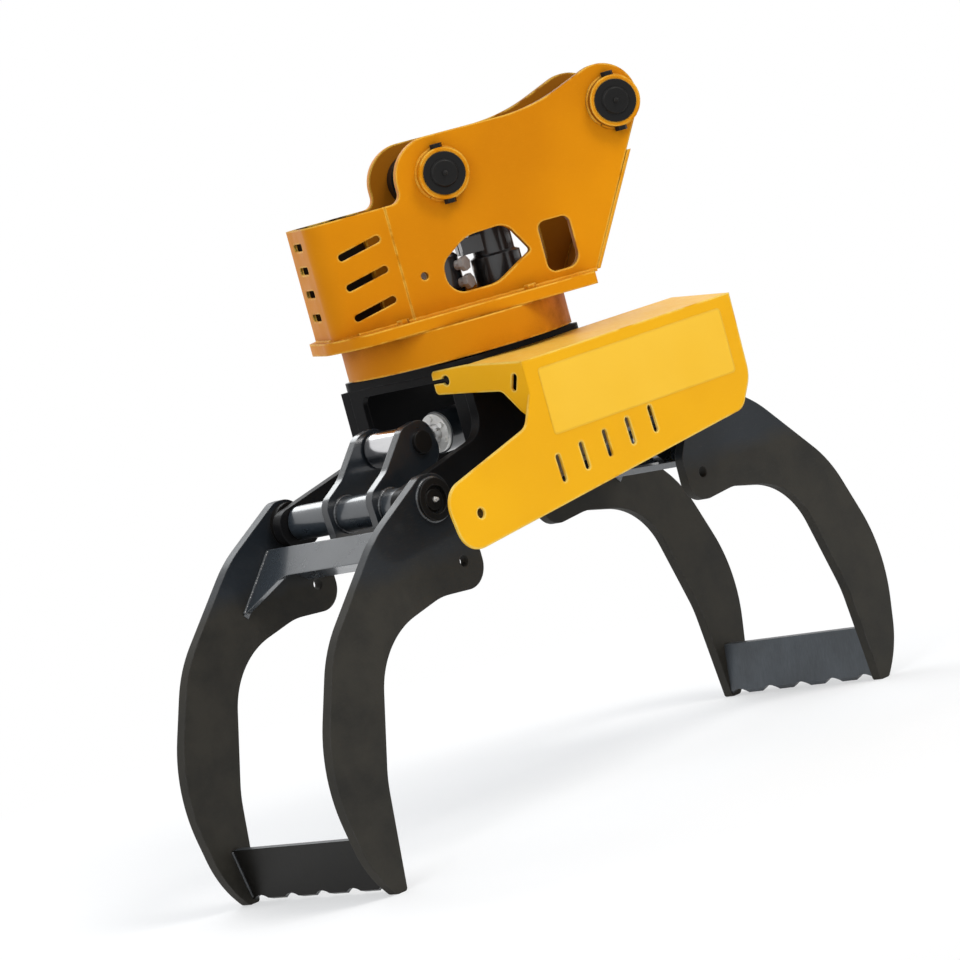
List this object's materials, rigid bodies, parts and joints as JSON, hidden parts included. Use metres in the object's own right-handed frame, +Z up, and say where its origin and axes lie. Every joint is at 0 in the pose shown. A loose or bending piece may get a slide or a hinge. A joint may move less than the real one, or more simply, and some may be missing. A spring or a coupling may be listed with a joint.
{
  "type": "grapple saw",
  "caption": "Excavator grapple saw: yellow two-pin hitch on a slewing ring, black log claws worked by a level cylinder, and a chain saw inside a yellow guard.",
  "frame": {"origin": "middle of the arm pin of the hitch", "axes": "+X along the line between the two claw pivots, +Y along the claw pivot pins (the way a held log lies), +Z up along the slew axis. The saw guard is on -Y."},
  "size_m": [1.4422, 0.5886, 1.2516],
  "materials": {
    "hitch_yellow": "satin",
    "guard_yellow": "satin",
    "black_paint": "worn satin",
    "zinc_steel": "satin",
    "worn_steel": "worn",
    "chrome_rod": "polished",
    "bare_plate": "matte"
  },
  "bodies": {
    "hitch": {"hitch_side_front": "hitch_yellow", "hitch_side_rear": "hitch_yellow", "pin_collars": "hitch_yellow", "arm_pin_bosses": "black_paint", "arm_pin_bushes": "worn_steel", "link_pin_bosses": "black_paint", "link_pin_bushes": "worn_steel", "hitch_base_plate": "hitch_yellow", "hitch_nose_cover": "hitch_yellow", "hitch_tail_cover": "hitch_yellow", "slew_motor": "black_paint", "slew_ring_outer": "hitch_yellow", "rotary_joint_housing": "black_paint", "rotary_joint_fittings": "zinc_steel", "pin_retaining_bolts": "zinc_steel", "slew_flange_bolts": "zinc_steel"},
    "arm_pin": {"arm_pin": "worn_steel"},
    "link_pin": {"link_pin": "worn_steel"},
    "slew_pinion": {"slew_pinion": "worn_steel"},
    "frame": {"slew_gear_ring": "worn_steel", "slew_gear_bolts": "zinc_steel", "rotary_joint_core": "worn_steel", "frame_top_plate": "black_paint", "frame_side_front": "black_paint", "frame_side_rear": "black_paint", "frame_end_plates": "black_paint", "frame_pivot_bushes": "worn_steel", "saw_guard": "guard_yellow", "saw_mounting_plate": "black_paint", "saw_motor": "black_paint", "saw_feed_cylinders": "black_paint"},
    "claw_left": {"claw_left_collars": "black_paint", "claw_left_tine_front": "black_paint", "claw_left_tine_rear": "black_paint", "claw_left_pivot_pin": "worn_steel", "claw_left_hub_tube": "black_paint", "claw_left_cranks": "black_paint", "claw_left_cylinder_pin": "worn_steel", "claw_left_cross_plate": "black_paint", "claw_left_blade": "bare_plate"},
    "claw_right": {"claw_right_collars": "black_paint", "claw_right_tine_front": "black_paint", "claw_right_tine_rear": "black_paint", "claw_right_pivot_pin": "worn_steel", "claw_right_hub_tube": "black_paint", "claw_right_cranks": "black_paint", "claw_right_cylinder_pin": "worn_steel", "claw_right_cross_plate": "black_paint", "claw_right_blade": "bare_plate"},
    "cylinder_rod": {"claw_cylinder_rod": "chrome_rod", "claw_cylinder_piston": "black_paint"},
    "cylinder_barrel": {"claw_cylinder_barrel": "black_paint", "claw_cylinder_gland": "zinc_steel"},
    "saw_arm": {"saw_holder": "black_paint", "guide_bar": "worn_steel", "bar_clamp_plate": "black_paint", "bar_clamp_bolts": "zinc_steel", "saw_chain": "worn_steel"},
    "saw_sprocket": {"saw_sprocket": "worn_steel"},
    "feed_rack": {"saw_feed_rack": "worn_steel"}
  },
  "joints": [
    {"name": "arm_pin_slide", "type": "slide", "parent": "hitch", "child": "arm_pin", "axis": [-0.515, -0.8572, 0], "range_m": [0, 0.34]},
    {"name": "link_pin_slide", "type": "slide", "parent": "hitch", "child": "link_pin", "axis": [-0.515, -0.8572, 0], "range_m": [0, 0.34]},
    {"name": "slew", "type": "hinge", "parent": "hitch", "child": "frame", "pos_m": [-0.02057, 0.01236, -0.318], "axis": [0, 0, 1], "continuous": true},
    {"name": "pinion_spin", "type": "hinge", "parent": "hitch", "child": "slew_pinion", "pos_m": [0.072, -0.04326, -0.29], "axis": [0, 0, 1], "continuous": true},
    {"name": "claw_left_swing", "type": "hinge", "parent": "frame", "child": "claw_left", "pos_m": [-0.36457, 0.01236, -0.53], "axis": [0, -1, 0], "range_deg": [-12, 50]},
    {"name": "claw_right_swing", "type": "hinge", "parent": "frame", "child": "claw_right", "pos_m": [0.32343, 0.01236, -0.53], "axis": [0, 1, 0], "range_deg": [-12, 50]},
    {"name": "rod_hinge", "type": "hinge", "parent": "claw_left", "child": "cylinder_rod", "pos_m": [-0.26257, -0.02064, -0.44], "axis": [0, -1, 0], "range_deg": [-50, 12]},
    {"name": "barrel_hinge", "type": "hinge", "parent": "claw_right", "child": "cylinder_barrel", "pos_m": [0.22143, -0.02064, -0.44], "axis": [0, 1, 0], "range_deg": [-50, 12]},
    {"name": "saw_swing", "type": "hinge", "parent": "frame", "child": "saw_arm", "pos_m": [0.19443, -0.26364, -0.448], "axis": [0, -1, 0], "range_deg": [0, 92]},
    {"name": "sprocket_spin", "type": "hinge", "parent": "frame", "child": "saw_sprocket", "pos_m": [0.19443, -0.26364, -0.448], "axis": [0, -1, 0], "continuous": true},
    {"name": "rack_slide", "type": "slide", "parent": "frame", "child": "feed_rack", "axis": [-1, 0, 0], "range_m": [0, 0.0965]}
  ],
  "couplings": [
    {"joint": "pinion_spin", "follows": "slew", "ratio": 3.5714},
    {"joint": "claw_right_swing", "follows": "claw_left_swing", "ratio": 1},
    {"joint": "rod_hinge", "follows": "claw_left_swing", "ratio": -1},
    {"joint": "barrel_hinge", "follows": "claw_left_swing", "ratio": -1},
    {"joint": "rack_slide", "follows": "saw_swing", "m_per_rad": 0.06}
  ]
}
